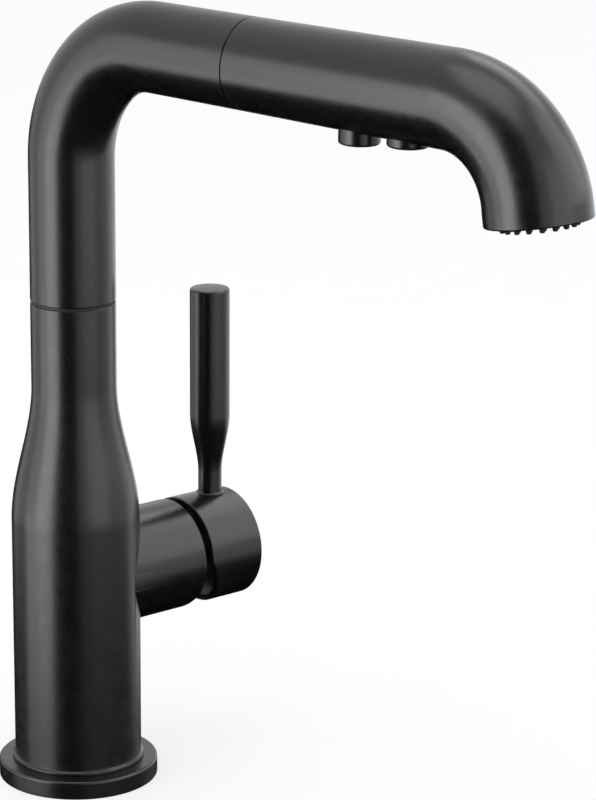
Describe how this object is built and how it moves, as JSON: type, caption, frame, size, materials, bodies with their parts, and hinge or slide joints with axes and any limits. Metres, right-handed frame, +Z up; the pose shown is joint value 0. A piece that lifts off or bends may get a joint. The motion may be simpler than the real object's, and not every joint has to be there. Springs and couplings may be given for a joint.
{
  "type": "pre rinse faucet",
  "caption": "Single-lever deck faucet with a swivelling angled spout, a pull-out spray wand with toggle buttons and a side-mounted ceramic valve, in matte black.",
  "frame": {"origin": "middle of the base ring's underside, on the deck plane", "axes": "+Z up along the body, +X out of the valve boss towards the user's right, -Y straight ahead over the sink; the spout is stored turned 10 degrees from -Y towards +X"},
  "size_m": [0.0999, 0.2442, 0.3778],
  "materials": {
    "matte_black_metal": "matte black coating on brass",
    "matte_black_plastic": "matte black coating on moulded plastic",
    "black_plastic": "moulded, fine satin",
    "nozzle_rubber": "soft silicone, dull",
    "black_rubber": "dull",
    "brass": "machined",
    "stainless_steel": "machined",
    "magnet": "nickel plated",
    "natural_acetal": "moulded, natural white",
    "ptfe": "turned, waxy white",
    "ceramic": "lapped",
    "red_plastic": "moulded",
    "blue_plastic": "moulded",
    "copper": "drawn tube",
    "braided_nylon": "braided sleeve over a flexible hose"
  },
  "bodies": {
    "body": {"base_ring": "matte_black_metal", "base_gasket": "black_rubber", "body_shell": "matte_black_metal", "seam_ring": "black_plastic", "retaining_ring": "stainless_steel", "mounting_shank": "brass", "clamp_rubber": "black_rubber", "clamp_washer": "stainless_steel", "mounting_nut": "brass", "nut_screw_1": "stainless_steel", "nut_screw_2": "stainless_steel", "valve_body": "brass", "seal_hot": "black_rubber", "seal_cold": "black_rubber", "seal_outlet": "black_rubber", "cartridge_housing": "natural_acetal", "fixed_disc": "ceramic", "limit_ring": "red_plastic", "bonnet_nut": "brass", "bonnet_sleeve": "black_plastic", "outlet_tube": "copper", "outlet_nipple": "stainless_steel", "hose_lower": "braided_nylon", "hose_nipple": "stainless_steel"},
    "spout": {"spout_tube": "matte_black_metal", "swivel_sleeve": "brass", "glide_ring_lower": "ptfe", "glide_ring_upper": "ptfe", "sleeve_seal": "black_rubber", "docking_collar": "black_plastic", "dock_magnet": "magnet", "hose_upper": "braided_nylon"},
    "wand": {"wand_shell": "matte_black_plastic", "dock_spigot": "black_plastic", "hose_connector": "stainless_steel", "hose_front": "braided_nylon", "check_valve": "blue_plastic", "wand_inlet_tube": "natural_acetal", "diverter_housing": "natural_acetal", "rocker_pin": "stainless_steel", "spray_waterway": "natural_acetal", "head_manifold": "natural_acetal", "spray_plate": "black_plastic", "nozzle_mat": "nozzle_rubber", "aerator": "stainless_steel", "aerator_screen": "stainless_steel"},
    "rocker": {"toggle_rocker": "natural_acetal"},
    "spray_button": {"spray_button": "matte_black_plastic"},
    "stream_button": {"stream_button": "matte_black_plastic"},
    "rotator": {"rotator": "natural_acetal", "stem_pin": "stainless_steel"},
    "disc": {"moving_disc": "ceramic"},
    "handle": {"valve_stem": "stainless_steel", "handle_hub": "matte_black_metal", "lever": "matte_black_metal", "set_screw": "stainless_steel", "screw_plug": "matte_black_metal"}
  },
  "joints": [
    {"name": "spout_swivel", "type": "hinge", "parent": "body", "child": "spout", "pos_m": [0, 0, 0.178], "axis": [0, 0, 1], "range_deg": [-70, 50]},
    {"name": "wand_pull", "type": "slide", "parent": "spout", "child": "wand", "axis": [0.1736, -0.9846, -0.0192], "range_m": [0, 0.05]},
    {"name": "spray_press", "type": "slide", "parent": "wand", "child": "spray_button", "axis": [0.0033, -0.0189, 0.9998], "range_m": [0, 0.002]},
    {"name": "stream_press", "type": "slide", "parent": "wand", "child": "stream_button", "axis": [0.0033, -0.0189, 0.9998], "range_m": [-0.002, 0]},
    {"name": "rocker_turn", "type": "hinge", "parent": "wand", "child": "rocker", "pos_m": [0.02413, -0.13685, 0.26533], "axis": [0.9848, 0.1736, 0], "range_deg": [0, 11.6]},
    {"name": "temperature", "type": "hinge", "parent": "body", "child": "rotator", "pos_m": [0.031, 0, 0.0752], "axis": [1, 0, 0], "range_deg": [-45, 45]},
    {"name": "flow", "type": "hinge", "parent": "rotator", "child": "handle", "pos_m": [0.031, 0, 0.0752], "axis": [0, 1, 0], "range_deg": [0, 20]},
    {"name": "disc_slide", "type": "slide", "parent": "rotator", "child": "disc", "axis": [0, 0, 1], "range_m": [0, 0.0032]}
  ],
  "couplings": [
    {"joint": "stream_press", "follows": "spray_press", "ratio": -1},
    {"joint": "rocker_turn", "follows": "spray_press", "rad_per_m": 100.5},
    {"joint": "disc_slide", "follows": "flow", "m_per_rad": 0.0089}
  ]
}
